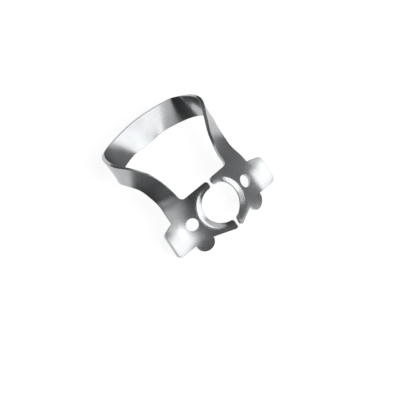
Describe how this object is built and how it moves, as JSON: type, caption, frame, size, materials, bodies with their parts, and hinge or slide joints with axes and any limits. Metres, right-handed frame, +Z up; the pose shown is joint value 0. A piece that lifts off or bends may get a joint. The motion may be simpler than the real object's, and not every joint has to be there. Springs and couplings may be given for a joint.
{
  "type": "rubber dam clamp",
  "caption": "Winged rubber dam clamp of bent spring steel sheet, with pointed jaws around the tooth opening, forceps holes and a strap bow.",
  "frame": {"origin": "centre of the bounding box's bottom face, on the surface it lies on", "axes": "+X lateral across the jaws, +Y from the jaws back to the bow, +Z up, the side the prongs point to"},
  "size_m": [0.0234, 0.027, 0.0076],
  "materials": {
    "steel": "tumbled satin spring steel"
  },
  "bodies": {
    "root": {"clamp": "steel"}
  },
  "joints": []
}
